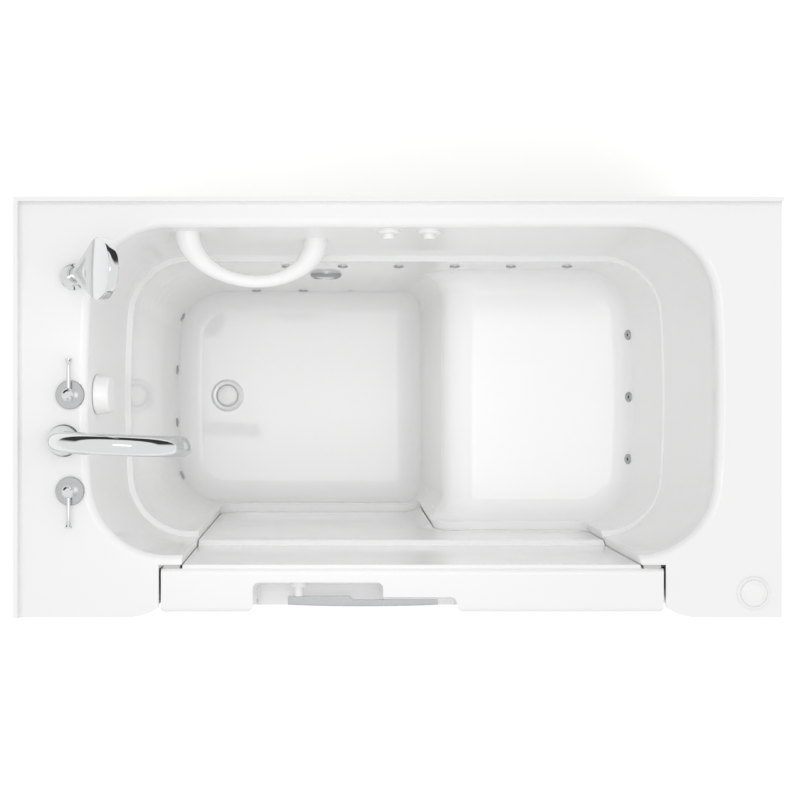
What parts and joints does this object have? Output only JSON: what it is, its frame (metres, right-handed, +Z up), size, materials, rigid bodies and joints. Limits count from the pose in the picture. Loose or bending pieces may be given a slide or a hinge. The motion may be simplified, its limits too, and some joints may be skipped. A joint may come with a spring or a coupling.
{
  "type": "air jetted walk-in bathtub",
  "caption": "White walk-in air bath with an outward swinging L-shaped door, moulded seat, air jets, deck spout, lever valves and hand shower.",
  "frame": {"origin": "middle of the bath's length and width, at the floor under the levelling feet", "axes": "+X from the foot and tap end to the seat end, +Y from the door side to the back wall, +Z up"},
  "size_m": [1.346, 0.737, 1.2598],
  "materials": {
    "white_acrylic": "polished white acrylic",
    "white_trim": "moulded white plastic",
    "seal_rubber": "soft grey-white seal",
    "chrome_plate": "polished chrome plate",
    "stainless_steel": "brushed stainless steel",
    "valve_brass": "turned brass",
    "white_pipe": "plain white pipe",
    "grey_plastic": "moulded grey plastic",
    "black_plastic": "moulded black plastic",
    "coated_steel": "powder coated steel",
    "lamp_lens": "clear ribbed lens"
  },
  "bodies": {
    "tub": {"tub_shell": "white_acrylic", "front_panel": "white_acrylic", "end_panel": "white_acrylic", "button_bezels": "white_trim", "grab_bar": "white_trim", "air_intake_cap": "white_trim", "air_jets_back_upper": "chrome_plate", "air_jets_back_lower": "chrome_plate", "air_jets_foot_end": "chrome_plate", "air_jets_back_rest": "chrome_plate", "spout": "chrome_plate", "spout_escutcheon": "chrome_plate", "valve_escutcheons": "chrome_plate", "shower_holder": "chrome_plate", "drain_flange": "chrome_plate", "light_bezel": "chrome_plate", "strike_plate": "stainless_steel", "hinge_frame_leaves": "stainless_steel", "hinge_pins": "stainless_steel", "grab_bar_bolts": "stainless_steel", "levelling_feet": "stainless_steel", "foot_lock_nuts": "stainless_steel", "valve_bodies": "valve_brass", "mixing_body": "valve_brass", "deck_nuts": "valve_brass", "air_riser": "white_pipe", "air_manifold_upper": "white_pipe", "air_manifold_lower": "white_pipe", "air_manifold_back_rest": "white_pipe", "waste_pipe": "white_pipe", "overflow_body": "white_pipe", "drain_body": "white_pipe", "button_bodies": "white_pipe", "light_housing": "white_pipe", "check_valve": "grey_plastic", "intake_hose": "grey_plastic", "control_box": "grey_plastic", "blower_housing": "black_plastic", "support_frame": "coated_steel", "equipment_shelf": "coated_steel", "blower_motor": "coated_steel", "light_lens": "lamp_lens"},
    "door": {"door_inner_panel": "white_acrylic", "door_outer_panel": "white_acrylic", "door_gasket": "seal_rubber", "latch_plate": "white_trim", "bolt_guides": "grey_plastic", "hinge_door_leaves": "stainless_steel"},
    "door_latch": {"latch_lever": "chrome_plate", "latch_spindle": "stainless_steel"},
    "door_bolt": {"latch_bolt": "stainless_steel"},
    "hot_handle": {"hot_lever": "chrome_plate"},
    "cold_handle": {"cold_lever": "chrome_plate"},
    "waste_knob": {"overflow_knob": "white_trim"},
    "waste_stopper": {"drain_stopper": "white_trim"},
    "left_button": {"left_air_button": "white_trim"},
    "right_button": {"right_air_button": "white_trim"},
    "shower": {"hand_shower": "chrome_plate"}
  },
  "joints": [
    {"name": "door_swing", "type": "hinge", "parent": "tub", "child": "door", "pos_m": [-0.419, -0.358, 0.6], "axis": [0, 0, -1], "range_deg": [0, 100]},
    {"name": "latch_turn", "type": "hinge", "parent": "door", "child": "door_latch", "pos_m": [-0.178, -0.33, 0.985], "axis": [0, -1, 0], "range_deg": [0, 90]},
    {"name": "bolt_throw", "type": "slide", "parent": "door", "child": "door_bolt", "axis": [1, 0, 0], "range_m": [0, 0.022]},
    {"name": "hot_turn", "type": "hinge", "parent": "tub", "child": "hot_handle", "pos_m": [-0.576, 0.0225, 1.06], "axis": [0, 0, -1], "range_deg": [0, 90]},
    {"name": "cold_turn", "type": "hinge", "parent": "tub", "child": "cold_handle", "pos_m": [-0.576, -0.1465, 1.06], "axis": [0, 0, 1], "range_deg": [0, 90]},
    {"name": "waste_turn", "type": "hinge", "parent": "tub", "child": "waste_knob", "pos_m": [-0.54025, 0.023, 0.97], "axis": [0.9947, 0.0016, 0.1027], "range_deg": [0, 90]},
    {"name": "stopper_lift", "type": "slide", "parent": "tub", "child": "waste_stopper", "axis": [0, 0, 1], "range_m": [0, 0.0121]},
    {"name": "left_button_press", "type": "slide", "parent": "tub", "child": "left_button", "axis": [0, 0.9944, -0.1059], "range_m": [0, 0.005], "stiffness_N_per_m": 400},
    {"name": "right_button_press", "type": "slide", "parent": "tub", "child": "right_button", "axis": [0, 0.9944, -0.1059], "range_m": [0, 0.005], "stiffness_N_per_m": 400},
    {"name": "shower_lift", "type": "slide", "parent": "tub", "child": "shower", "axis": [0.4484, 0.071, 0.891], "range_m": [0, 0.06]}
  ],
  "couplings": [
    {"joint": "bolt_throw", "follows": "latch_turn", "m_per_rad": 0.014},
    {"joint": "stopper_lift", "follows": "waste_turn", "m_per_rad": 0.00764}
  ]
}
